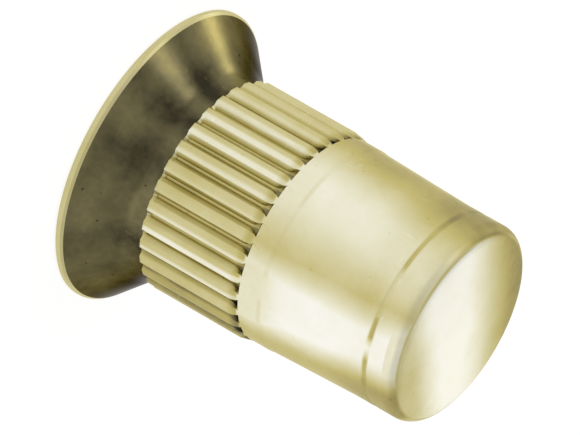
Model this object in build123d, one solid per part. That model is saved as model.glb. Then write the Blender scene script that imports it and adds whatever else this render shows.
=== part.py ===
from build123d import *
import os
from math import radians, tan

# A closed-end rivet nut for an M6 screw: one piece of steel, cold formed and turned.
# It has a countersunk head, a straight-knurled barrel and a plain nose that is closed.
#
# Millimetres.  The nut stands on its head: z = 0 is the head's front face, with the
# mouth for the screw in the middle of it, and +Z runs along the axis to the closed end.

# Whole nut
total_length = 15.0             # front face of the head to the middle of the closed end
blank_diameter = 8.68           # plain barrel, before the knurl is raised on it

# Countersunk head
head_diameter = 12.4
head_angle = 90.0               # included angle of the countersink
head_land = 0.27                # short cylinder that keeps the rim from being a knife edge
head_edge_break = 0.1           # chamfer round the front face
head_edge_round = 0.1           # the land's other edge
head_blend_radius = 1.5         # hollow that carries the head's cone into the barrel
neck_length = 0.05              # plain barrel between that hollow and the knurl

# Straight knurl
rib_count = 32
knurl_diameter = 9.0            # over the crests
knurl_root_diameter = 8.4       # at the bottom of the grooves
knurl_length = 4.7
knurl_groove_width = 0.46       # at the crest
knurl_root_width = 0.1          # at the bottom of a groove
knurl_edge_round = 0.14         # edges of each crest
knurl_entry = 0.16              # slope from the neck down to the grooves' bottom
knurl_runout = 0.1              # steep wall that stops the grooves at the collar
knurl_lead = 0.5                # slope of the crests down to the collar
pocket_length = 0.45            # each groove flares into a small pocket at the collar
pocket_width = 0.6              # the pocket's widest place, at that wall

# Collar, shank and nose
collar_diameter = 8.74          # burnished ring past the knurl
collar_length = 0.9
collar_step_length = 0.12       # slope at the collar's end
nose_diameter = 8.4             # the shank tapers to this
nose_length = 2.45              # parallel part at the closed end
mark_distance = 1.57            # from the closed end to the fine turned line
mark_width = 0.2
mark_depth = 0.04
end_corner_radius = 0.55
end_crown = 0.15                # how far the middle of the closed end stands proud

# Inside
counterbore_diameter = 6.8      # thin-walled part that bulges when the nut is set
mouth_chamfer = 0.3
step_angle = 90.0               # included angle of the step down to the thread
thread_bore_diameter = 5.0      # crests of the M6 x 1 thread, left as a plain bore
thread_length = 5.0
bottom_angle = 150.0            # included angle of the bore's conical bottom
end_thickness = 1.5             # metal on the axis, past the bottom

# Radii and heights that follow from the sizes above
head_radius = head_diameter / 2
blank_radius = blank_diameter / 2
crest_radius = knurl_diameter / 2
root_radius = knurl_root_diameter / 2
collar_radius = collar_diameter / 2
nose_radius = nose_diameter / 2
counterbore_radius = counterbore_diameter / 2
thread_bore_radius = thread_bore_diameter / 2
mouth_radius = counterbore_radius + mouth_chamfer

half_head_angle = radians(head_angle / 2)
cone_end = head_land + (head_radius - blank_radius) / tan(half_head_angle)
blend_length = head_blend_radius * tan(half_head_angle / 2)
knurl_start = cone_end + blend_length + neck_length
knurl_end = knurl_start + knurl_length
collar_end = knurl_end + collar_length
nose_start = total_length - nose_length
mark_middle = total_length - mark_distance
nose_edge = total_length - end_crown

bottom_apex = total_length - end_thickness
bottom_start = bottom_apex - thread_bore_radius / tan(radians(bottom_angle / 2))
thread_start = bottom_start - thread_length
step_length = (counterbore_radius - thread_bore_radius) / tan(radians(step_angle / 2))
counterbore_end = thread_start - step_length


def half_section(points):
    """A closed outline of (radius, height) points, joined by straight lines."""
    return Polyline(*[(radius, 0, height) for radius, height in points])


def corner_at(section, radius, height):
    """The corner of a half section that lies nearest to (radius, height)."""
    return section.vertices().sort_by_distance(Vector(radius, 0, height))[0]


def solid_core():
    """Everything that is round: the head, barrel, collar, shank and closed end."""
    side = half_section([
        (0, 0),
        (head_radius, 0),
        (head_radius, head_land),
        (blank_radius, cone_end),
        (blank_radius, knurl_start),
        (root_radius, knurl_start + knurl_entry),
        (root_radius, knurl_end - knurl_runout),
        (collar_radius, knurl_end),
        (collar_radius, collar_end),
        (blank_radius, collar_end + collar_step_length),
        (nose_radius, nose_start),
        (nose_radius, mark_middle - mark_width / 2),
        (nose_radius - mark_depth, mark_middle),
        (nose_radius, mark_middle + mark_width / 2),
        (nose_radius, nose_edge),
    ])
    crown = TangentArc((0, 0, total_length), (nose_radius, 0, nose_edge), tangent=(1, 0, 0))
    axis_line = Line((0, 0, 0), (0, 0, total_length))
    section = make_face(side.edges() + crown.edges() + axis_line.edges())

    edge_break = min(head_edge_break, 0.4 * head_land)
    edge_round = min(head_edge_round, 0.4 * head_land)
    section = chamfer(corner_at(section, head_radius, 0), edge_break)
    section = fillet(corner_at(section, head_radius, head_land), edge_round)
    section = fillet(corner_at(section, blank_radius, cone_end), head_blend_radius)
    section = fillet(corner_at(section, nose_radius, nose_edge), end_corner_radius)
    return revolve(section, Axis.Z)


def around(tool):
    """Copies of a tool at every groove of the knurl."""
    return [Rot(0, 0, 360 / rib_count * turn) * tool for turn in range(rib_count)]


def pocket_tool():
    """A wedge, pointed towards the head, that widens the end of one groove."""
    outline = make_face(Polyline(
        (0, 0, knurl_end - pocket_length),
        (0, pocket_width / 2, knurl_end),
        (0, -pocket_width / 2, knurl_end),
        close=True,
    ))
    return extrude(outline, 2 * crest_radius, dir=(1, 0, 0))


def knurl_band():
    """The ribs: a slice of splined bar, with its crests sloped down to the collar."""
    slope = (knurl_groove_width - knurl_root_width) / 2 / (crest_radius - root_radius)
    clear = crest_radius - root_radius
    outer_width = knurl_groove_width / 2 + slope * clear
    groove = make_face(Polyline(
        (root_radius - clear, -knurl_root_width / 2),
        (root_radius, -knurl_root_width / 2),
        (crest_radius + clear, -outer_width),
        (crest_radius + clear, outer_width),
        (root_radius, knurl_root_width / 2),
        (root_radius - clear, knurl_root_width / 2),
        close=True,
    ))
    splined = Circle(crest_radius) - around(groove)

    middle_radius = (crest_radius + root_radius) / 2
    crest_corners = [v for v in splined.vertices() if Vector(v).length > middle_radius]
    splined = fillet(crest_corners, knurl_edge_round)
    bar = Pos(0, 0, knurl_start) * extrude(splined, knurl_length)
    bar -= around(pocket_tool())

    envelope = make_face(half_section([
        (0, knurl_start),
        (crest_radius, knurl_start),
        (crest_radius, knurl_end - knurl_lead),
        (collar_radius, knurl_end),
        (0, knurl_end),
        (0, knurl_start),
    ]))
    return bar & revolve(envelope, Axis.Z)


def screw_bore():
    """The hole from the mouth: counterbore, step, thread bore and conical bottom."""
    section = make_face(half_section([
        (0, 0),
        (mouth_radius, 0),
        (counterbore_radius, mouth_chamfer),
        (counterbore_radius, counterbore_end),
        (thread_bore_radius, thread_start),
        (thread_bore_radius, bottom_start),
        (0, bottom_apex),
        (0, 0),
    ]))
    return revolve(section, Axis.Z)


rivet_nut = solid_core() + knurl_band() - screw_bore()
rivet_nut.label = "rivet_nut"
export_step(rivet_nut, "parts/rivet_nut.step")

print(f"rivet_nut: {rivet_nut.volume:.2f} mm3, knurl {knurl_start:.2f} to {knurl_end:.2f} mm,")
print(f"thread bore {thread_start:.2f} to {bottom_start:.2f} mm, counterbore to {counterbore_end:.2f} mm")
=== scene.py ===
# %% [markdown]
# # A closed-end rivet nut in yellow zinc
#
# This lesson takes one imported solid, a countersunk rivet nut with a straight
# knurl, and gives it the skin of the real thing: a fine mesh with a true screw
# thread inside, and a yellow-passivated zinc finish made only of shader nodes.
# The real nut is one piece of steel, so the skin is one closed mesh. Every
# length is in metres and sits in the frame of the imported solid.

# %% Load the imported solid
from math import acos, asin, atan2, ceil, cos, hypot, pi, radians, sin, sqrt, tan

import bmesh
import bpy
from mathutils import Matrix, Vector


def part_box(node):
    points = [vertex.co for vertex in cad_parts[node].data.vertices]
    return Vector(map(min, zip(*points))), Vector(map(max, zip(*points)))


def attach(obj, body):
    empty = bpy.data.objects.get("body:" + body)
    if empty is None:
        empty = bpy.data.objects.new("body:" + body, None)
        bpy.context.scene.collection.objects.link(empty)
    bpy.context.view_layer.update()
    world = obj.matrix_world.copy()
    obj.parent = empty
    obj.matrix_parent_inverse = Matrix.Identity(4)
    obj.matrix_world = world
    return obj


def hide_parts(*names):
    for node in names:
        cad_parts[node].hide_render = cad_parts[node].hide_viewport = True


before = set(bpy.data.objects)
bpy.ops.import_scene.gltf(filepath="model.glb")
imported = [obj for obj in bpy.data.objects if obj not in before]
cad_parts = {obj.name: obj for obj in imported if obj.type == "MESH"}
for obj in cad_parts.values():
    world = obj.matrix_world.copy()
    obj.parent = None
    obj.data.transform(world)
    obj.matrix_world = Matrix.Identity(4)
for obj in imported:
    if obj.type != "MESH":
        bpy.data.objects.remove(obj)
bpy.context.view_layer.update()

nut_low, nut_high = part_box("rivet_nut")
print("solid:", [round(1000 * side, 3) for side in nut_high - nut_low], "mm")

# %% [markdown]
# ## The camera
#
# The nut stands on its head, but it is looked at as if it lay on its side. It
# could be laid down for that, but it has to stay where its solid is. A camera
# can be rolled about its own line of sight, so here the view turns and the nut
# doesn't. The lens is very long, which keeps the edges of the barrel nearly
# parallel. The camera is made first, because all the rest is judged through it.

# %% Place and roll the camera
MM = 0.001
camera_azimuth = radians(3.7)        # brings a groove of the knurl to the right place
camera_elevation = radians(24.8)
axis_slope = radians(29.75)          # how far the nut's axis points below level in the view
view_width = 22.21 * MM              # how much the view takes in at the nut
aim_height = 6.353 * MM
aim_aside = 0.423 * MM
lens_length = 700.0                  # millimetres, as Blender counts lenses

back = Vector((
    sin(camera_azimuth) * cos(camera_elevation),
    -cos(camera_azimuth) * cos(camera_elevation),
    sin(camera_elevation),
))
level_right = (-back).cross(Vector((0, 0, 1))).normalized()
level_up = level_right.cross(-back)
view_right = cos(axis_slope) * level_up - sin(axis_slope) * level_right
view_up = -sin(axis_slope) * level_up - cos(axis_slope) * level_right
aim = Vector((0, 0, nut_low.z + aim_height)) - aim_aside * level_right

camera_data = bpy.data.cameras.new("camera")
camera_data.lens = lens_length
camera_data.clip_start = 0.01
camera_data.clip_end = 10
distance = view_width * camera_data.lens / camera_data.sensor_width
camera = bpy.data.objects.new("camera", camera_data)
camera.matrix_world = Matrix.Translation(aim + distance * back) @ Matrix((
    view_right, view_up, back)).transposed().to_4x4()
bpy.context.scene.collection.objects.link(camera)
bpy.context.scene.camera = camera
print("camera stands", round(distance, 3), "m away")

# %% [markdown]
# ## Rounded outlines
#
# A turned or rolled edge is never quite sharp. The edges could be bevelled once
# the mesh is there, but a bevel finds it hard to follow ribs and threads. So the
# rounding is done in the outline, before there is a mesh. One helper takes the
# corners of an outline and a radius for each, and returns the points of the
# rounded line. Another adds points to long stretches, which keeps the quads of
# the skin from getting too thin.

# %% A helper that rounds the corners of an outline
def rounded(corners, finest=radians(12), steps=0):
    """Points along an outline whose corners are (x, y, radius); steps fixes their number."""
    points = [Vector(corners[0][:2])]
    for before, corner, after in zip(corners, corners[1:], corners[2:]):
        here = Vector(corner[:2])
        to_before = (Vector(before[:2]) - here).normalized()
        to_after = (Vector(after[:2]) - here).normalized()
        radius = corner[2]
        if radius == 0:
            points.append(here)
            continue
        half_angle = acos(max(-1, min(1, to_before.dot(to_after)))) / 2
        centre = here + (to_before + to_after).normalized() * radius / sin(half_angle)
        first = here + to_before * radius / tan(half_angle) - centre
        last = here + to_after * radius / tan(half_angle) - centre
        turn = first.angle_signed(last)
        pieces = steps or max(2, ceil(abs(turn) / finest))
        for piece in range(pieces + 1):
            spoke = first.copy()
            spoke.rotate(Matrix.Rotation(-turn * piece / pieces, 2))
            points.append(centre + spoke)
    points.append(Vector(corners[-1][:2]))
    return points


print("a rounded square corner has", len(rounded([(1, 0, 0), (0, 0, 0.5), (0, 1, 0)])) - 2, "points")

# %% A helper that adds points to long stretches
def spread(points, longest):
    """The same line with extra points, so that no stretch is longer than asked."""
    line = [points[0]]
    for start, end in zip(points, points[1:]):
        pieces = max(1, ceil((end - start).length / longest))
        line += [start.lerp(end, piece / pieces) for piece in range(1, pieces + 1)]
    return line


print("a stretch of 1 in steps of 0.3 has", len(spread([Vector((0, 0)), Vector((1, 0))], 0.3)), "points")

# %% [markdown]
# ## The head
#
# The head is the wide end, which pulls down into a countersunk hole. Its front
# face is flat, with the mouth for the screw in the middle. The rim is a thin
# upright land, and behind it a 90 degree cone closes in and runs into the neck
# in a hollow curve, where the steel flowed as it was formed cold. A cylinder
# and a cone could be joined for this, but the curve between them would still be
# missing. One line of radius and height, taken round the axis, gives all of it.

# %% Outline of the rim and of the hollow behind it
total_length = nut_high.z - nut_low.z
head_radius = (nut_high.x - nut_low.x) / 2
head_land = 0.27 * MM
head_edge = 0.1 * MM                 # chamfer at the front face, rounding at the cone
head_blend_radius = 1.5 * MM         # of the hollow curve
blank_radius = 4.34 * MM             # of the barrel before its knurl is rolled
neck_length = 0.05 * MM
bore_radius = 3.4 * MM
mouth_chamfer = 0.3 * MM
edge_round = 0.03 * MM               # what plating leaves of a sharp edge
head_step = 0.4 * MM                 # longest stretch of the outline

mouth_radius = bore_radius + mouth_chamfer
cone_end = head_land + head_radius - blank_radius       # at 45 degrees it climbs as it closes in
knurl_start = cone_end + head_blend_radius * tan(radians(45) / 2) + neck_length

rim = rounded([
    (mouth_radius, 0, 0),
    (head_radius - head_edge, 0, edge_round),
    (head_radius, head_edge, edge_round),
    (head_radius, head_land, head_edge),
    (head_radius - head_edge, head_land + head_edge, 0),
])
hollow = rounded([
    (head_radius - head_edge, head_land + head_edge, 0),
    (blank_radius, cone_end, head_blend_radius),
    (blank_radius, knurl_start, 0),
], finest=radians(5))
rim = spread(rim, head_step)
hollow = spread(hollow, head_step)
print("head:", len(rim) + len(hollow), "stations, up to", round(knurl_start / MM, 2), "mm")

# %% [markdown]
# ## The ribs
#
# The knurl keeps the nut from turning in its hole. It is rolled: a toothed wheel
# presses grooves into the barrel and the metal rises between them. A Boolean
# could cut the grooves, but it leaves slivers where they run out. Here the
# columns of the mesh run along the barrel instead, and each keeps one place in a
# rib's cross-section. Inside the knurl a column stands at its rib's height, and
# outside it falls back to the plain barrel, so each rib edge is a clean line.

# %% The cross-section of half a rib
rib_count = 32
crest_radius = 4.5 * MM
root_radius = 4.2 * MM
groove_width = 0.46 * MM             # from crest to crest
groove_root = 0.1 * MM               # along the bottom
crest_round = 0.14 * MM

pitch_angle = 2 * pi / rib_count
crest_middle = Vector((crest_radius, 0))
groove_middle = Vector((cos(pitch_angle / 2), sin(pitch_angle / 2))) * root_radius


def on_circle(radius, angle):
    return Vector((radius * cos(angle), radius * sin(angle)))


def half_rib(crest_gap, root_gap, rounding):
    """(radius, angle) from a crest's middle down to the middle of the next groove."""
    crest_edge = on_circle(crest_radius, pitch_angle / 2 - asin(crest_gap / 2 / crest_radius))
    root_edge = on_circle(root_radius, pitch_angle / 2 - asin(root_gap / 2 / root_radius))
    outline = rounded([
        (*crest_middle, 0),
        (*crest_edge, rounding),
        (*root_edge, 0),
        (*groove_middle, 0),
    ], steps=4)
    return [(hypot(x, y), atan2(y, x)) for x, y in outline]


plain_half = half_rib(groove_width, groove_root, crest_round)
print(len(plain_half), "points from a crest to its groove")

# %% The columns of the whole nut
def rib_columns(half):
    """(angle, rib radius) for every column, groove by groove round the nut."""
    columns = []
    for rib in range(rib_count):
        middle = (rib + 0.5) * pitch_angle       # the solid's grooves lie at whole pitches
        for radius, angle in reversed(half):
            columns.append((middle - angle, radius))
        for radius, angle in half[1:-1]:
            columns.append((middle + angle, radius))
    return columns


plain_columns = rib_columns(plain_half)
print(len(plain_columns), "columns round the nut")

# %% [markdown]
# ## Where the ribs start and stop
#
# At the neck the grooves climb out on a short slope and the ribs end in a small
# rounding. At the collar the wheel pushed metal ahead of itself, so each groove
# flares into a wedge-shaped pocket and stops at a steep wall, and the crests
# come down to the collar on a long gentle slope. Each of these could be a shape
# of its own, cut or added. It is simpler to ask, at each height, how high a rib
# may stand, how low a groove may lie and how wide it is.

# %% Outline of the knurl's band
knurl_length = 4.7 * MM
knurl_entry = 0.16 * MM              # slope out of the neck
knurl_runout = 0.1 * MM              # steep wall at the collar
knurl_lead = 0.5 * MM                # slope of the crests down to the collar
rib_end_round = 0.06 * MM
pocket_length = 0.45 * MM
collar_radius = 4.37 * MM
wall_round = 0.04 * MM
barrel_step = 0.5 * MM               # longest stretch of the outline

knurl_end = knurl_start + knurl_length
knurl = rounded([
    (root_radius, knurl_start, 0),
    (root_radius, knurl_start + rib_end_round / 3, 0),
    (root_radius, knurl_start + rib_end_round, 0),
    (root_radius, knurl_start + knurl_entry, 0),
    (root_radius, knurl_end - knurl_lead, 0),
    (root_radius, knurl_end - 0.75 * pocket_length, 0),        # two stations along the pocket
    (root_radius, knurl_end - 0.5 * pocket_length, 0),
    (root_radius, knurl_end - knurl_runout, wall_round),
    (collar_radius, knurl_end, 0),
])
knurl = spread(knurl, barrel_step)
print("knurl:", len(knurl), "stations, up to", round(knurl_end / MM, 2), "mm")

# %% How high, how low and how wide
pocket_width = 0.6 * MM
pocket_round = 0.1 * MM              # of the crests beside a pocket
worn_share = 0.8                     # a worn rib end drops a little less than a full rounding


def rib_limit(height):
    """How high a rib may stand: rounded at the head's side, sloped down to the collar."""
    into = max(0, height - knurl_start)
    if into < rib_end_round:
        drop = rib_end_round - sqrt(rib_end_round ** 2 - (rib_end_round - into) ** 2)
        return crest_radius - worn_share * drop
    slope_share = max(0, (height - knurl_end + knurl_lead) / knurl_lead)
    return crest_radius - slope_share * (crest_radius - collar_radius)


def core_radius(station):
    """The bottom of the grooves, with the slope down from the neck."""
    into = max(0, min(1, (station.y - knurl_start) / knurl_entry))
    neck = blank_radius - into * (blank_radius - root_radius)
    return max(station.x, neck)


def columns_at(height):
    """The ribs' columns; near the collar the groove is at least as wide as its pocket."""
    opened = pocket_width * (1 - (knurl_end - height) / pocket_length)
    if opened <= groove_root:
        return plain_columns
    crest_gap = max(groove_width, opened)
    root_gap = max(groove_root, opened)
    return rib_columns(half_rib(crest_gap, root_gap, min(crest_round, pocket_round)))


print("at the collar the crests are", round((crest_radius - rib_limit(knurl_end)) / MM, 2), "mm lower")

# %% [markdown]
# ## Collar, shank and closed end
#
# The collar is a band that the knurling wheel's edge burnished. A step leads
# down from it to the shank, which tapers to the nose, and a fine line is turned
# into the nose. The closed end has a rounded corner and a slight crown, so that
# light slides over it instead of flashing all at once. These are all turned
# forms, so the outline simply goes on.

# %% Outline of the collar, the shank and the nose
collar_length = 0.9 * MM
collar_step = 0.12 * MM
step_round = 0.06 * MM
nose_radius = 4.2 * MM
nose_length = 2.45 * MM
taper_round = 2 * MM                 # where the shank's taper meets the nose
mark_distance = 1.57 * MM            # of the turned line from the closed end
mark_width = 0.2 * MM
mark_depth = 0.04 * MM
mark_edge_round = 0.2 * MM
mark_root_round = 0.15 * MM
end_corner = 0.55 * MM
end_crown = 0.15 * MM

collar_end = knurl_end + collar_length
nose_start = total_length - nose_length
mark_middle = total_length - mark_distance
nose_edge = total_length - end_crown
corner_start = nose_edge - 1.1 * end_corner      # just before the corner begins to turn

shank = rounded([
    (collar_radius, knurl_end, 0),
    (collar_radius, collar_end, edge_round),
    (blank_radius, collar_end + collar_step, step_round),
    (nose_radius, nose_start, taper_round),
    (nose_radius, mark_middle - mark_width / 2, mark_edge_round),
    (nose_radius - mark_depth, mark_middle, mark_root_round),
    (nose_radius, mark_middle + mark_width / 2, mark_edge_round),
    (nose_radius, corner_start, 0),
])
shank = spread(shank, barrel_step)
print("shank:", len(shank), "stations, up to", round(corner_start / MM, 2), "mm")

# %% Outline of the closed end
face_radius = nose_radius - 1.3 * end_corner     # just inside the rounded corner


def crown_height(radius):
    return total_length - end_crown * (radius / nose_radius) ** 2


end = rounded([
    (nose_radius, corner_start, 0),
    (nose_radius, nose_edge, end_corner),
    (face_radius, crown_height(face_radius), 0),
], finest=radians(6))
end += [Vector((share * face_radius, crown_height(share * face_radius)))
        for share in (0.8, 0.6, 0.4, 0.2, 0)]
print("closed end:", len(end), "stations")

# %% [markdown]
# ## Mouth, bore and bottom
#
# Inside the mouth a wide smooth bore leaves room for the barrel to bulge when
# the nut is set. A cone leads from there into the thread, and the drill that
# came first left a shallow cone at the bottom. This outline runs inside the
# skin, from the mouth to the start of the thread and from its top to the axis.

# %% Outline of the bore and of its bottom
thread_crest = 2.5 * MM
thread_root = 3.0 * MM
thread_length = 5.0 * MM
end_thickness = 1.5 * MM
bottom_angle = radians(150)
chamfer_round = 0.05 * MM
bore_round = 0.1 * MM
thread_clearance = 0.1 * MM          # plain bore between the thread and the bottom

bottom_apex = total_length - end_thickness
bottom_start = bottom_apex - thread_crest / tan(bottom_angle / 2)
thread_start = bottom_start - thread_length
bore_end = thread_start - (bore_radius - thread_crest)
thread_mouth = thread_start - (thread_root - thread_crest)
thread_top = bottom_start - thread_clearance

bore = rounded([
    (mouth_radius, 0, 0),
    (bore_radius, mouth_chamfer, chamfer_round),
    (bore_radius, bore_end, bore_round),
    (thread_root, thread_mouth, 0),
])
bottom = rounded([
    (thread_crest, thread_top, 0),
    (thread_crest, bottom_start, bore_round),
    (0, bottom_apex, 0),
])
print("thread from", round(thread_start / MM, 2), "to", round(thread_top / MM, 2), "mm")

# %% [markdown]
# ## The screw thread
#
# The thread is tapped: one groove winds up the bore like a stair round a tower.
# A Screw modifier could sweep its profile, but would leave open ends to sew to
# the bore. Here each row of points climbs by one pitch in one turn. A row that
# has gone once round meets the row one pitch above it, which is what makes it a
# screw. At the mouth a cone cuts the first turns away, as the countersink of a
# real bore does, and at the top the groove gets shallow where the tap stopped.

# %% Rows of the thread
thread_pitch = 1.0 * MM
fade_out = 0.8 * thread_pitch
thread_depth = thread_root - thread_crest
flank = thread_depth * tan(radians(30))
root_flat = thread_pitch / 8
crest_flat = thread_pitch - root_flat - 2 * flank
row_shapes = [                       # (rise, depth) along one pitch of the thread
    (0, 0),
    (crest_flat / 2, 0),
    (crest_flat, 0),
    (crest_flat + flank / 2, 0.5 * thread_depth),
    (crest_flat + flank, thread_depth),
    (crest_flat + flank + root_flat, thread_depth),
    (crest_flat + 1.5 * flank + root_flat, 0.5 * thread_depth),
]
pitches = ceil((thread_top - thread_mouth) / thread_pitch) + 2      # one more below, one above


def thread_rows():
    rows = []
    for pitch in range(pitches):
        for rise, depth in row_shapes:
            row = []
            for angle, rib_radius in plain_columns:
                height = thread_mouth + (pitch - 1) * thread_pitch + rise
                height += thread_pitch * (angle % (2 * pi)) / (2 * pi)
                height = max(thread_mouth, min(thread_top, height))
                depth_share = min(1, (thread_top - height) / fade_out)
                cone = thread_root - (height - thread_mouth)
                radius = max(thread_crest + depth * depth_share, min(thread_root, cone))
                row.append((radius * cos(angle), radius * sin(angle), height))
            rows.append(row)
    return rows


print(pitches * len(row_shapes), "rows of points climb the bore")

# %% [markdown]
# ## One closed skin
#
# A ring of points stands at each station of the outline, one point for each
# column. Joining ring to ring gives the outside and the bore. The stretches of
# the outline are joined one after the other, because each takes its own finish.
# Where neighbouring points fall together, on the axis and at the ends of the
# thread, they are welded. Then every edge has two faces and the skin is closed,
# as the surface of a real piece of steel is.

# %% Rings, and quads between them
def ring(station, ribbed):
    points = []
    for angle, rib_radius in columns_at(station.y) if ribbed else plain_columns:
        radius = station.x
        if ribbed:
            radius = max(core_radius(station), min(rib_radius, rib_limit(station.y)))
        points.append((radius * cos(angle), radius * sin(angle), station.y))
    return points


def join_rings(mesh, rings, material, rows_a_turn=0):
    """Quads between neighbouring rings; a thread's seam climbs by one turn of rows."""
    verts = [[mesh.verts.new(point) for point in points] for points in rings]
    last = len(verts) - 1
    for low in range(last):
        for column in range(len(plain_columns)):
            following = (column + 1) % len(plain_columns)
            climb = 0 if following else rows_a_turn
            low_next = verts[min(low + climb, last)][following]
            high_next = verts[min(low + 1 + climb, last)][following]
            if low_next is high_next:
                continue
            face = mesh.faces.new((verts[low][column], low_next, high_next, verts[low + 1][column]))
            face.material_index = material
            face.smooth = True


print("a ring has", len(ring(shank[0], False)), "points")

# %% Join the rings from the mouth to the closed end, and up the bore
finishes = ["zinc_barrel", "zinc_hollow", "zinc_end", "zinc_bore"]       # as in the list of materials
outer_stretches = [
    ("zinc_barrel", rim, False),
    ("zinc_hollow", hollow, False),
    ("zinc_barrel", knurl, True),
    ("zinc_barrel", shank, False),
    ("zinc_end", end, False),
]
skin = bmesh.new()
above = None
for finish, points, ribbed in outer_stretches:
    rings = [ring(point, ribbed) for point in points]
    if above:
        rings[0] = above             # a stretch starts on the last ring of the one before
    join_rings(skin, rings, finishes.index(finish))
    above = rings[-1]

in_bore = finishes.index("zinc_bore")
join_rings(skin, [ring(point, False) for point in bore], in_bore)
join_rings(skin, thread_rows(), in_bore, rows_a_turn=len(row_shapes))
join_rings(skin, [ring(point, False) for point in bottom], in_bore)
print(len(skin.verts), "points before welding")

# %% Weld, mark the sharp edges and measure
weld_distance = 0.002 * MM
sliver = 0.001 * MM
sharp_turn = radians(38)
bmesh.ops.remove_doubles(skin, verts=skin.verts, dist=weld_distance)
bmesh.ops.dissolve_degenerate(skin, dist=sliver, edges=skin.edges)
bmesh.ops.recalc_face_normals(skin, faces=skin.faces)
for edge in skin.edges:
    edge.smooth = len(edge.link_faces) == 2 and edge.calc_face_angle(0) < sharp_turn
open_edges = sum(len(edge.link_faces) != 2 for edge in skin.edges)
volume = skin.calc_volume()
nut_mesh = bpy.data.meshes.new("rivet_nut_skin")
skin.to_mesh(nut_mesh)
skin.free()
print(len(nut_mesh.polygons), "faces,", open_edges, "open edges,", round(volume / MM ** 3, 1), "mm3")

# %% [markdown]
# ## In the solid's place
#
# The skin rides on the same body as the solid and takes its place in the view.
# The solid itself stays hidden, as the part that fits and weighs.

# %% Put the skin in the solid's place
nut = bpy.data.objects.new("rivet_nut_skin", nut_mesh)
bpy.context.scene.collection.objects.link(nut)
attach(nut, "root")
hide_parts("rivet_nut")
print(nut.name, "takes the place of rivet_nut")

# %% [markdown]
# ## Building shader nodes in few words
#
# The finish is made of nodes only. They could be placed by hand in the shader
# editor, but a recipe in words is easier to read and to change. One helper adds
# a node and fills its inputs in order, a few more name the nodes that come up
# often, and the last two open a node group and place it in a material.

# %% Helpers for single nodes
def add(tree, kind, *values, **settings):
    """A node whose inputs take the given numbers, colours or sockets, in order."""
    made = tree.nodes.new("ShaderNode" + kind)
    for name, value in settings.items():
        setattr(made, name, value)
    for socket, value in zip(made.inputs, values):
        if isinstance(value, bpy.types.NodeSocket):
            tree.links.new(value, socket)
        elif value is not None:
            socket.default_value = value
    return made


def calc(tree, operation, *values, clamp=False):
    return add(tree, "Math", *values, operation=operation, use_clamp=clamp).outputs[0]


def vector(tree, operation, *values):
    return add(tree, "VectorMath", *values, operation=operation).outputs


def fade(tree, value, start, end, low=0.0, high=1.0):
    """A smooth change from low to high while the value goes from start to end."""
    return add(tree, "MapRange", value, start, end, low, high,
               interpolation_type="SMOOTHSTEP").outputs[0]


def blend(tree, share, first, second):
    """The first value where the share is 0, and the second where it is 1."""
    return add(tree, "Mix", share, None, first, second, data_type="FLOAT").outputs[0]


def noise(tree, point, scale, detail, roughness):
    return add(tree, "TexNoise", point, None, scale, detail, roughness,
               noise_dimensions="3D").outputs


print("helpers:", ", ".join(made.__name__ for made in (add, calc, vector, fade, blend, noise)))

# %% Helpers for node groups
def new_group(name, inputs, outputs):
    """A group with the given sockets, and the ends to wire its recipe to."""
    group = bpy.data.node_groups.new(name, "ShaderNodeTree")
    for label, kind, value in inputs:
        socket = group.interface.new_socket(label, in_out="INPUT", socket_type="NodeSocket" + kind)
        socket.default_value = value
    for label, kind in outputs:
        group.interface.new_socket(label, in_out="OUTPUT", socket_type="NodeSocket" + kind)
    given = group.nodes.new("NodeGroupInput").outputs
    result = group.nodes.new("NodeGroupOutput").inputs
    return group, given, result


def use(tree, group, **values):
    """Place a group in a tree; its inputs are named with underscores for spaces."""
    made = tree.nodes.new("ShaderNodeGroup")
    made.node_tree = group
    for name, value in values.items():
        socket = made.inputs[name.replace("_", " ")]
        if isinstance(value, bpy.types.NodeSocket):
            tree.links.new(value, socket)
        else:
            socket.default_value = value
    return made.outputs


print("helpers:", new_group.__name__, "and", use.__name__)

# %% [markdown]
# ## Where on the nut
#
# A turned part is easiest to paint in its own terms: how far along the axis, how
# far from it, and which way round. A UV map could hold them, but object
# coordinates already do, and never stretch. This group turns them into those
# three, in millimetres and radians. It also tells which side of its rib a point
# lies on, so that the knurl can have a bright and a dull side.

# %% Node group: place on the nut
place_group, given, result = new_group("Place on the nut", [], [
    ("Point", "Vector"), ("Height", "Float"), ("Radius", "Float"), ("Angle", "Float"),
    ("Rib side", "Float")])
tree = place_group
to_millimetres = (1 / MM, 1 / MM, 1 / MM)
point = vector(tree, "MULTIPLY", add(tree, "TexCoord").outputs["Object"], to_millimetres)[0]
parts = add(tree, "SeparateXYZ", point).outputs
flat = add(tree, "CombineXYZ", parts[0], parts[1], 0).outputs[0]
angle = calc(tree, "ARCTAN2", parts[1], parts[0])
in_pitch = calc(tree, "FRACT", calc(tree, "MULTIPLY", angle, 1 / pitch_angle))
tree.links.new(point, result["Point"])
tree.links.new(parts[2], result["Height"])
tree.links.new(vector(tree, "LENGTH", flat)["Value"], result["Radius"])
tree.links.new(angle, result["Angle"])
tree.links.new(calc(tree, "MULTIPLY_ADD", in_pitch, 2, -1), result["Rib side"])
print(place_group.name, "gives", len(result) - 1, "values")
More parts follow.
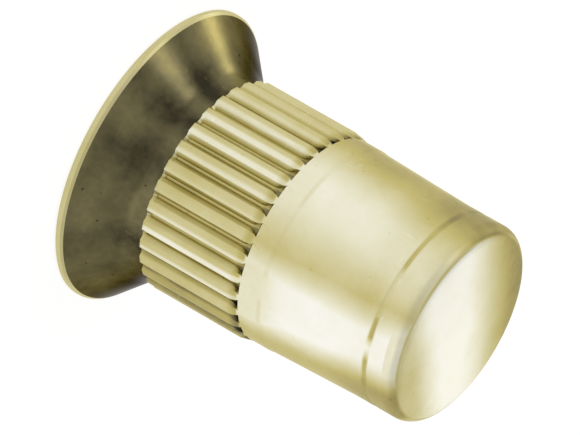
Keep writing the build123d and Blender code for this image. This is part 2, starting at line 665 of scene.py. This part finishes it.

# %% [markdown]
# ## Yellow passivation
#
# The real nut is plated with zinc and then dipped in a chromate bath, which
# leaves a gold film. The scale of colours runs from nearly white through straw
# and gold to brownish olive: the gold is the film's own colour, while the nearly
# white end serves for painted highlights and the olive end for painted shade.
# Each part could have a colour of its own, but then the borders would be hard.
# Here one number, the depth of the film, picks the colour from a scale. Clouds
# of noise shift that number, and it also goes out as a value, so that roughness
# can follow it.

# %% Node group: plating film
film_scale = [                       # (depth of the film, colour)
    (0.00, (0.91, 0.895, 0.82)),
    (0.20, (0.79, 0.76, 0.58)),
    (0.40, (0.66, 0.61, 0.36)),
    (0.60, (0.53, 0.46, 0.17)),
    (0.75, (0.38, 0.32, 0.12)),
    (0.88, (0.19, 0.165, 0.08)),
    (1.00, (0.04, 0.035, 0.02)),
]
broad_share = 1.3                    # of the broad clouds
fine_share = 0.35                    # of the fine ones inside them
fine_scale = 7                       # how many times smaller they are

film_group, given, result = new_group("Plating film", [
    ("Depth", "Float", 0.5), ("Point", "Vector", (0, 0, 0)),
    ("Cloud size", "Float", 2.0), ("Cloud strength", "Float", 0.1)],
    [("Color", "Color"), ("Depth", "Float")])
tree = film_group
scale = calc(tree, "DIVIDE", 1, given["Cloud size"])
broad = noise(tree, given["Point"], scale, 3, 0.55)[0]
fine = noise(tree, given["Point"], calc(tree, "MULTIPLY", scale, fine_scale), 2, 0.6)[0]
broad = calc(tree, "MULTIPLY_ADD", broad, broad_share, -(broad_share + fine_share) / 2)
clouds = calc(tree, "MULTIPLY_ADD", fine, fine_share, broad)
depth = calc(tree, "MULTIPLY_ADD", clouds, given["Cloud strength"], given["Depth"], clamp=True)
scale_node = add(tree, "ValToRGB", depth)
ramp = scale_node.color_ramp
for place, colour in film_scale[1:-1]:
    ramp.elements.new(place)
for element, (place, colour) in zip(ramp.elements, film_scale):
    element.position = place
    element.color = (*colour, 1)
tree.links.new(scale_node.outputs[0], result["Color"])
tree.links.new(depth, result["Depth"])
print(film_group.name, "has", len(ramp.elements), "steps of colour")

# %% [markdown]
# ## Turning marks and grain
#
# The tool that turned the barrel left rings far finer than a hair, and plating
# adds a grain of its own. Both are too small to be worth a mesh, so they are
# height for a Bump node. The rings are noise that is stretched flat: it changes
# quickly along the axis and hardly at all round it.

# %% Node group: turned grain
along_the_rings = (0.02, 0.02, 1)
grain_scale = 14                     # grains a millimetre

grain_group, given, result = new_group("Turned grain", [
    ("Point", "Vector", (0, 0, 0)), ("Ring spacing", "Float", 0.05),
    ("Ring height", "Float", 0.5), ("Grain height", "Float", 0.3)],
    [("Height", "Float")])
tree = grain_group
stretched = vector(tree, "MULTIPLY", given["Point"], along_the_rings)[0]
rings = noise(tree, stretched, calc(tree, "DIVIDE", 1, given["Ring spacing"]), 2, 0.5)[0]
grain = noise(tree, given["Point"], grain_scale, 3, 0.6)[0]
height = calc(tree, "MULTIPLY_ADD", rings, given["Ring height"],
              calc(tree, "MULTIPLY", grain, given["Grain height"]))
tree.links.new(height, result["Height"])
print(grain_group.name, "has", len(tree.nodes), "nodes")

# %% [markdown]
# ## Handling wear
#
# Rivet nuts are plated, poured and packed loose, so they knock against each
# other. That leaves short fine scratches in all directions and a few small dull
# specks. Scratches could be drawn as curves, but noise that is squeezed thin
# gives the same lines for nothing: only its highest ridges are kept. Both
# effects are masks. The finishes lighten the film along a scratch and deepen it
# at a speck.

# %% Node group: handling wear
lays = [                             # (turn, stretch) of each family of scratches
    ((0.4, 0.9, 0.3), (1.2, 1.2, 0.08)),
    ((-0.7, 0.2, 1.1), (0.08, 1.0, 1.0)),
]
bend = 0.3                           # mm, how far a scratch strays from a straight line
ridge = (0.7, 0.76)                  # the noise's highest ridges become scratches
busy = (0.5, 0.62)                   # and only where the nut was knocked
speck_size = (0.05, 0.1)

wear_group, given, result = new_group("Handling wear", [
    ("Point", "Vector", (0, 0, 0)), ("Scratch amount", "Float", 0.3),
    ("Speck amount", "Float", 0.3)],
    [("Scratches", "Float"), ("Specks", "Float")])
tree = wear_group
bent = noise(tree, given["Point"], 0.6, 2, 0.5)["Color"]
bent = vector(tree, "MULTIPLY_ADD", bent, (bend, bend, bend), given["Point"])[0]
scratches = None
for turn, stretch in lays:
    lay = add(tree, "Mapping", bent, (0, 0, 0), turn, stretch).outputs[0]
    line = fade(tree, noise(tree, lay, 6, 1, 0.5)[0], *ridge)
    scratches = line if scratches is None else calc(tree, "MAXIMUM", scratches, line)
knocked = fade(tree, noise(tree, given["Point"], 0.45, 1, 0.5)[0], *busy)
scratches = calc(tree, "MULTIPLY", scratches, knocked)
tree.links.new(calc(tree, "MULTIPLY", scratches, given["Scratch amount"]), result["Scratches"])
cells = add(tree, "TexVoronoi", given["Point"], None, 1.6, voronoi_dimensions="3D")
specks = fade(tree, cells.outputs["Distance"], *speck_size, 1, 0)
tree.links.new(calc(tree, "MULTIPLY", specks, given["Speck amount"]), result["Specks"])
print(len(bpy.data.node_groups), "node groups so far")

# %% [markdown]
# ## One recipe for all the zinc
#
# Every finish on the nut is the same plated steel. What differs is how deep the
# film is and how smooth the surface is. Four materials could be wired one by
# one, but then a change would have to be made four times. So one function
# builds a material, and is given another that works out the film's depth from
# the place on the nut. The Principled shader stays in the material, and its
# plain numbers are set on its own sockets.

# %% A function for zinc finishes
scratch_film = -0.3                  # a scratch takes film off
speck_film = 0.3                     # and a speck adds some
dulling = 0.16                       # how much rougher the deepest film is than the thinnest
bump_strength = 0.5
bump_height = 0.004 * MM


def zinc(name, depth_of, roughness, cloud_size=2.5, cloud_strength=0.25, ring_height=0.5,
         edge_tint=(1, 1, 1), scratch_amount=0.3):
    """A plated finish; depth_of(tree, place) returns the socket of the film's depth."""
    material = bpy.data.materials.new(name)
    material.use_nodes = True
    tree = material.node_tree
    bsdf = tree.nodes["Principled BSDF"]
    bsdf.inputs["Metallic"].default_value = 1.0
    bsdf.inputs["Specular Tint"].default_value = (*edge_tint, 1)
    place = use(tree, place_group)
    wear = use(tree, wear_group, Point=place["Point"], Scratch_amount=scratch_amount)
    # The film's depth carries the gold of the plating, and also painted highlights and painted shade.
    depth = calc(tree, "MULTIPLY_ADD", wear["Scratches"], scratch_film, depth_of(tree, place))
    depth = calc(tree, "MULTIPLY_ADD", wear["Specks"], speck_film, depth)
    film = use(tree, film_group, Depth=depth, Point=place["Point"],
               Cloud_size=cloud_size, Cloud_strength=cloud_strength)
    grain = use(tree, grain_group, Point=place["Point"], Ring_height=ring_height)
    bump = add(tree, "Bump", bump_strength, bump_height)
    dull = calc(tree, "MULTIPLY_ADD", film["Depth"], dulling, roughness - dulling / 2)
    tree.links.new(grain["Height"], bump.inputs["Height"])
    tree.links.new(film["Color"], bsdf.inputs["Base Color"])
    tree.links.new(dull, bsdf.inputs["Roughness"])
    tree.links.new(bump.outputs[0], bsdf.inputs["Normal"])
    print(name, "has", len(tree.nodes), "nodes")
    return material


print("a scratch takes off", -scratch_film, "of film and a speck adds", speck_film)

# %% A helper that picks one side of the nut
def turned_to(tree, angle, middle, half_width, amount):
    """The amount at a middle angle in degrees, and nothing a half width away from it."""
    facing = calc(tree, "COSINE", calc(tree, "SUBTRACT", angle, radians(middle)))
    away = calc(tree, "ARCCOSINE", facing)       # the same on both sides, and right across 180
    return fade(tree, away, radians(half_width), 0, 0, amount)


print("helper:", turned_to.__name__)

# %% [markdown]
# ## Film and painted highlights on the collar, the shank and the nose
#
# Broad pale stripes along the barrel are painted highlights: the film is made
# thin where the metal would mirror the bright room. The stripes lean a little.
# Between them the film is gold, and it gets deeper towards the closed end and a
# little deeper on one side. Over the collar the film never gets thinner than
# straw, which holds the painted highlights back there. Stripes could be noise,
# but a list of them says plainly where each one is.

# %% Film and painted highlights on the shank
# Each stripe is a painted highlight, where the metal would mirror the bright room.
stripes = [                          # (middle, half width, film taken off, lean)
    (-49, 31, 0.82, -1.5),           # in degrees, and the lean in degrees a millimetre
    (-107, 48, 0.42, 2.0),
    (14, 20, 0.3, 0),
    (50, 34, 0.5, 0),
    (92, 28, 0.35, 0),
    (140, 40, 0.5, 0),
    (-180, 20, 0.2, 0),
]
lean_height = 11.0                   # mm, where a leaning stripe is at its middle
lean_stops = 8.8                     # mm, below this the stripes run straight
side_in_gold = (-165, 60, 0.07)      # (middle, half width, film added)
gold_deepens = (10.8, 13.2, 0.6, 0.71)       # (from height, to height, film there, film here)
# the least film over the collar, which holds the painted highlights back there
collar_straw = (9.8, 8.0, 0.02, 0.24)
deepest = 0.76


def film_and_highlights_on_shank(tree, place, angle):
    height = calc(tree, "MAXIMUM", place["Height"], lean_stops)
    climb = calc(tree, "SUBTRACT", lean_height, height)
    shank_highlight = 0.0
    for middle, half_width, lightened, lean in stripes:
        leaning = calc(tree, "MULTIPLY_ADD", climb, radians(lean), angle)
        stripe = turned_to(tree, leaning, middle, half_width, lightened)
        shank_highlight = calc(tree, "MAXIMUM", shank_highlight, stripe)
    before_highlights = fade(tree, place["Height"], *gold_deepens)
    before_highlights = calc(tree, "ADD", before_highlights, turned_to(tree, place["Angle"], *side_in_gold))
    before_highlights = calc(tree, "MINIMUM", before_highlights, deepest)
    highlighted = calc(tree, "SUBTRACT", before_highlights, shank_highlight)
    return calc(tree, "MAXIMUM", highlighted, fade(tree, place["Height"], *collar_straw))


print(len(stripes), "stripes round the shank")

# %% [markdown]
# ## Film, painted highlights and painted shade on the knurl
#
# Each rib gets a painted highlight along one edge, stronger in stripes round the
# nut, and one edge of a rib is painted a little lighter than the other. The
# grooves get painted shade, more along their bottoms and in the pockets at the
# collar and less on one side of the nut, and a band of painted shade lies over
# the ribs on another side. A rib is told from a groove by its distance from the
# axis, so the film follows the mesh exactly and needs no drawing.

# %% Film, painted highlights and painted shade on the ribs
rib_stripes = [                      # (middle, half width, painted highlight)
    (-48, 29, 0.85),
    (-109, 46, 0.66),
    (50, 40, 0.7),
    (140, 46, 0.8),
]
crest_mm = crest_radius / MM
root_mm = root_radius / MM
rib_film = 0.5                       # on a crest without painted highlight
rib_side_light = -0.07                   # painted light: how it changes from one edge of a rib to the other
painted_root_shade = 0.24                     # painted shade added along the bottom of a groove
painted_pocket_shade = 0.15                   # painted shade added in the pockets
highlight_film = -0.42                  # what a full painted highlight takes off
edge_pull = 0.6                      # a stronger painted highlight also widens the bright edge
edge_begins = (0.25, 0.6)            # from 0 at the middle of a rib to 1 at its edge
painted_dark_side = (-9, 22, 0.25)       # (middle, half width, painted shade added)
middle_of_lighter_grooves = -86               # degrees, the side where the grooves get the least painted shade
painted_groove_shade = (0.82, 0.57, -0.06, 0.15)      # painted shade added in grooves, less on that side


def film_light_and_shade_on_ribs(tree, place):
    rib_highlight = 0.0
    for middle, half_width, share in rib_stripes:
        stripe = turned_to(tree, place["Angle"], middle, half_width, share)
        rib_highlight = calc(tree, "MAXIMUM", rib_highlight, stripe)
    crest = fade(tree, place["Radius"], root_mm + 0.08, crest_mm - 0.08)
    bright_edge = calc(tree, "MULTIPLY_ADD", rib_highlight, edge_pull, place["Rib side"])
    bright_edge = fade(tree, bright_edge, *edge_begins)
    highlighted = calc(tree, "MULTIPLY", calc(tree, "MULTIPLY", bright_edge, crest), rib_highlight)

    towards_lighter_grooves = calc(tree, "COSINE", calc(tree, "ADD", place["Angle"], radians(-middle_of_lighter_grooves)))
    groove_shade = fade(tree, towards_lighter_grooves, *painted_groove_shade)
    groove = fade(tree, place["Radius"], crest_mm - 0.06, crest_mm - 0.16)
    root = fade(tree, place["Radius"], root_mm + 0.08, root_mm + 0.02, 0, painted_root_shade)
    pockets_begin = (knurl_end - pocket_length) / MM - 0.1
    pocket = fade(tree, place["Height"], pockets_begin, knurl_end / MM - 0.2, 0, painted_pocket_shade)

    depth = calc(tree, "MULTIPLY_ADD", place["Rib side"], rib_side_light, rib_film)
    depth = calc(tree, "MULTIPLY_ADD", groove, groove_shade, depth)
    depth = calc(tree, "ADD", depth, root)
    depth = calc(tree, "ADD", depth, pocket)
    depth = calc(tree, "MULTIPLY_ADD", highlighted, highlight_film, depth)
    return calc(tree, "ADD", depth, turned_to(tree, place["Angle"], *painted_dark_side))


print(len(rib_stripes), "rubbed stripes over the ribs")

# %% [markdown]
# ## Lines of painted shade on the barrel
#
# A thin line of painted shade lies in the turned groove near the closed end, and
# a fainter one at the foot of the collar's step. Both are broken where the barrel
# carries its painted highlights. The grooves are already in the mesh, so a line
# is only a little film at the right height, and the list of dashes says where it
# shows.

# %% Lines of painted shade
painted_shade_lines = [                    # (height in mm, film in the line, painted shade added to what is there)
    (mark_middle / MM, 0.62, 0.12),
    (collar_end / MM + 0.06, 0.3, 0.02),
]
line_dashes = [                      # (middle, half width) in degrees
    (-37, 17), (-64, 13), (-119, 44), (172, 34), (116, 30), (60, 38), (8, 20),
]
dash_fullness = 1.6                  # over 1, so that a dash is full for most of its length
line_edge = (0.19, 0.05)             # mm from its middle, where a line begins and where it is full


def with_lines(tree, place, angle, depth):
    # where the lines of painted shade show
    left = 0.0
    for middle, half_width in line_dashes:
        dash = turned_to(tree, angle, middle, half_width, dash_fullness)
        left = calc(tree, "MAXIMUM", left, dash)
    left = calc(tree, "MINIMUM", left, 1)
    for height, film, shade_added in painted_shade_lines:
        off_line = calc(tree, "ABSOLUTE", calc(tree, "SUBTRACT", place["Height"], height))
        line = calc(tree, "MULTIPLY", fade(tree, off_line, *line_edge), left)
        deeper = calc(tree, "MULTIPLY_ADD", line, shade_added, depth)
        depth = calc(tree, "MAXIMUM", calc(tree, "MULTIPLY", line, film), deeper)
    return depth


print(len(line_dashes), "dashes in each line")

# %% [markdown]
# ## The barrel's finish
#
# The head's rim, the knurl, the collar, the shank and the nose share one
# material, because the film runs on from one to the next. Height picks which of
# the recipes holds. A slow noise bends the angle first, so that the painted
# highlights and painted shade have no straight edges.

# %% Finish: rim, knurl and shank
wander_width = 12                    # degrees
wander_stretch = (1, 1, 0.35)        # longer along the axis than across it
rim_film = 0.5


def film_light_and_shade_on_barrel(tree, place):
    stretched = vector(tree, "MULTIPLY", place["Point"], wander_stretch)[0]
    wander = noise(tree, stretched, 0.35, 2, 0.5)[0]
    straight = calc(tree, "SUBTRACT", place["Angle"], radians(wander_width / 2))
    angle = calc(tree, "MULTIPLY_ADD", wander, radians(wander_width), straight)

    from_neck = fade(tree, place["Height"], knurl_start / MM - 0.1, knurl_start / MM)
    to_collar = fade(tree, place["Height"], knurl_end / MM - 0.02, knurl_end / MM - 0.12)
    in_knurl = calc(tree, "MULTIPLY", from_neck, to_collar)
    shank_depth = film_and_highlights_on_shank(tree, place, angle)
    depth = blend(tree, in_knurl, shank_depth, film_light_and_shade_on_ribs(tree, place))
    depth = with_lines(tree, place, angle, depth)
    on_rim = fade(tree, place["Height"], head_land / MM + 0.3, head_land / MM + 0.1)
    return blend(tree, on_rim, depth, rim_film)


edge_straw = (0.92, 0.9, 0.75)       # tint of what the metal mirrors at a glancing angle
nut_mesh.materials.append(zinc("zinc_barrel", film_light_and_shade_on_barrel, roughness=0.36,
                               cloud_strength=0.18, edge_tint=edge_straw))

# %% [markdown]
# ## The hollow behind the head
#
# The hollow is painted dark olive all over, painted shade that goes to nearly
# black as it closes on the ribs. Streaks down the cone are painted as well: the
# darker ones are painted shade, the paler ones painted highlights where the strip
# lamps show. The surface is smoother than the barrel, because the die that
# formed the head pressed it, and so the lamps show in it as soft streaks.

# %% Finish: hollow
painted_streaks = [                           # (middle, half width, painted shade added; below 0 a painted highlight)
    (-108, 13, 0.08),
    (-131, 10, 0.055),
    (-82, 14, 0.04),
    (-36, 14, 0.035),
    (-121, 9, -0.02),
    (-151, 13, -0.09),
    (150, 30, 0.04),
    (90, 35, 0.05),
    (40, 20, 0.03),
]
painted_hollow_shade = (6.1, 5.2, 0.88, 0.875)        # (from radius, to radius, film there, film here)
painted_inner_shade = (5.6, 4.7, 0, 0.045)            # painted shade added as the cone closes on the ribs
edge_dark = (0.3, 0.29, 0.3)


def film_and_shade_on_hollow(tree, place):
    outer = fade(tree, place["Radius"], *painted_hollow_shade)
    inner = fade(tree, place["Radius"], *painted_inner_shade)
    depth = calc(tree, "ADD", outer, inner)
    for streak in painted_streaks:
        depth = calc(tree, "ADD", depth, turned_to(tree, place["Angle"], *streak))
    return depth


nut_mesh.materials.append(zinc("zinc_hollow", film_and_shade_on_hollow, roughness=0.2,
                               cloud_size=2.0, cloud_strength=0.15,
                               edge_tint=edge_dark, scratch_amount=0.1))

# %% [markdown]
# ## The closed end
#
# The flat of the end is painted nearly white as a painted highlight, which shades
# to gold, as painted shade, towards one side of it and a little towards another.
# The rounded corner carries on the film of the nose, with painted shade on the
# corner beyond the gold, and a fine line of painted shade stays at the edge of
# the flat. The sides are told apart by two arrows that lie across the end: how
# far a point is along an arrow sets the film.

# %% Finish: closed end
towards_end_shade = (-0.806, 0.592, 0)
towards_end_half_shade = (0.899, -0.438, 0)
end_shade = (-0.2, 3.6, 0, 0.76)          # (from, to, film there, film here), mm along the first arrow
end_half_shade = (1.3, 3.4, 0, 0.46)          # the same along the second
far_corner_shade = (1.0, 2.5, 0, 0.72)     # painted shade on the corner beyond the gold
edge_line_shade = (2.0, 0.0, 0, 0.52)      # painted shade in the line at the flat's edge, away from the gold
flat_begins = (4.0, 3.85)            # mm from the axis
corner_begins = (3.75, 4.1)
line_radius = 3.94
line_fades = (0.13, 0.02)
corner_least = 0.2                   # the film never gets thinner than this on the corner


def film_light_and_shade_on_end(tree, place):
    across = vector(tree, "DOT_PRODUCT", place["Point"], towards_end_shade)["Value"]
    along = vector(tree, "DOT_PRODUCT", place["Point"], towards_end_half_shade)["Value"]
    flat = calc(tree, "MAXIMUM", fade(tree, across, *end_shade), fade(tree, along, *end_half_shade))
    on_flat = fade(tree, place["Radius"], *flat_begins)
    corner = calc(tree, "MAXIMUM", film_light_and_shade_on_barrel(tree, place), corner_least)
    depth = blend(tree, on_flat, corner, flat)

    on_corner = fade(tree, place["Radius"], *corner_begins)
    far = calc(tree, "MULTIPLY", on_corner, fade(tree, across, *far_corner_shade))
    off_line = calc(tree, "ABSOLUTE", calc(tree, "SUBTRACT", place["Radius"], line_radius))
    line = calc(tree, "MULTIPLY", fade(tree, off_line, *line_fades), fade(tree, across, *edge_line_shade))
    return calc(tree, "MAXIMUM", calc(tree, "MAXIMUM", depth, far), line)


nut_mesh.materials.append(zinc("zinc_end", film_light_and_shade_on_end, roughness=0.45,
                               cloud_strength=0.2, edge_tint=edge_straw))

# %% [markdown]
# ## The bore
#
# The film simply deepens from straw at the mouth to olive at the bottom. The tap
# and the drill leave coarser rings than the turning tool does outside.

# %% Finish: bore and thread
bore_film = (0.0, 9.0, 0.35, 0.75)   # (from height, to height, film there, film here)


def film_in_bore(tree, place):
    return fade(tree, place["Height"], *bore_film)


nut_mesh.materials.append(zinc("zinc_bore", film_in_bore, roughness=0.42, ring_height=1.0))
print("finishes in order:", [material.name for material in nut_mesh.materials] == finishes)

# %% [markdown]
# ## The floor
#
# The nut stands in a white cove, as small parts do when they are shown. A plain
# plane would end in a grey horizon, so the far edge of this floor curls up. The
# floor glows a little less than white and the room's light brings it the rest
# of the way, so it looks white but still takes the nut's soft shadow.

# %% The shape of the cove
cove_steps = [(1.5, -0.00002), (2.2, 0.05), (2.7, 0.25), (3.0, 0.7)]     # (radius, height)
cove_sides = 48

cove = bmesh.new()
rings = []
for radius, height in cove_steps:
    spokes = [on_circle(radius, 2 * pi * turn / cove_sides) for turn in range(cove_sides)]
    rings.append([cove.verts.new((*spoke, height)) for spoke in spokes])
cove.faces.new(rings[0])
for low, high in zip(rings, rings[1:]):
    for turn in range(cove_sides):
        after = (turn + 1) % cove_sides
        cove.faces.new((low[turn], low[after], high[after], high[turn])).smooth = True
cove_mesh = bpy.data.meshes.new("cove")
cove.to_mesh(cove_mesh)
cove.free()
floor = bpy.data.objects.new("cove", cove_mesh)
bpy.context.scene.collection.objects.link(floor)
print("the cove has", len(cove_mesh.polygons), "faces")

# %% The white of the cove
cove_colour = (0.3, 0.3, 0.3, 1)
cove_glow = 0.79
cove_white = bpy.data.materials.new("cove_white")
cove_white.use_nodes = True
tree = cove_white.node_tree
tree.nodes.clear()
matt = add(tree, "BsdfDiffuse", cove_colour).outputs[0]
glow = add(tree, "Emission", (1, 1, 1, 1), cove_glow).outputs[0]
add(tree, "OutputMaterial", add(tree, "AddShader", matt, glow).outputs[0])
cove_mesh.materials.append(cove_white)
print("the cove glows at", cove_glow, "of white")

# %% [markdown]
# ## The room and the lamps
#
# Polished metal has little colour of its own and shows what is around it. The
# room is one even pale grey, which is soft light from everywhere. Three broad
# softboxes add a slow change of light round the barrel, and two narrow strips
# draw the streaks in the hollow behind the head. All are plain area lamps that
# face the nut, kept weak enough for pale film to stay below white.

# %% The room
room_colour = (0.75, 0.75, 0.75, 1)
world = bpy.data.worlds.new("room")
world.use_nodes = True
background = world.node_tree.nodes["Background"]
background.inputs["Color"].default_value = room_colour
background.inputs["Strength"].default_value = 1.0
bpy.context.scene.world = world
print("the room is", room_colour[0], "of white")

# %% The lamps
lamp_distance = 0.3
lamps = [            # name, azimuth, elevation, width, height, radiance, roll in degrees
    ("back_box", 180, 27, 0.30, 0.08, 0.6, 0),
    ("top_box", 180, 78, 0.25, 0.22, 0.1, 0),
    ("left_box", 58, 14, 0.12, 0.08, 0.5, 0),
    ("upper_strip", -70, 38, 0.05, 0.15, 2.0, 27),
    ("lower_strip", -120, 15, 0.055, 0.11, 2.0, 20),
]


def softbox(name, azimuth, elevation, width, height, radiance, roll):
    """A lamp that looks at the nut; azimuth 0 is in front of it, positive is towards +X."""
    lamp = bpy.data.lights.new(name, "AREA")
    lamp.shape = "RECTANGLE"
    lamp.size = width
    lamp.size_y = height
    lamp.energy = radiance * pi * width * height
    turn, rise = radians(azimuth), radians(elevation)
    out = Vector((sin(turn) * cos(rise), -cos(turn) * cos(rise), sin(rise)))
    side = Vector((cos(turn), sin(turn), 0))
    facing = Matrix((side, out.cross(side), out)).transposed()
    facing = facing @ Matrix.Rotation(radians(roll), 3, "Z")
    holder = bpy.data.objects.new(name, lamp)
    holder.matrix_world = Matrix.Translation(out * lamp_distance) @ facing.to_4x4()
    holder.visible_camera = False
    bpy.context.scene.collection.objects.link(holder)
    print(name, "gives", round(1000 * lamp.energy, 1), "mW")


for lamp in lamps:
    softbox(*lamp)

# %% [markdown]
# ## The last lines
#
# The Standard view shows colours as they were written.

# %% The view, and the end
bpy.context.scene.view_settings.view_transform = "Standard"
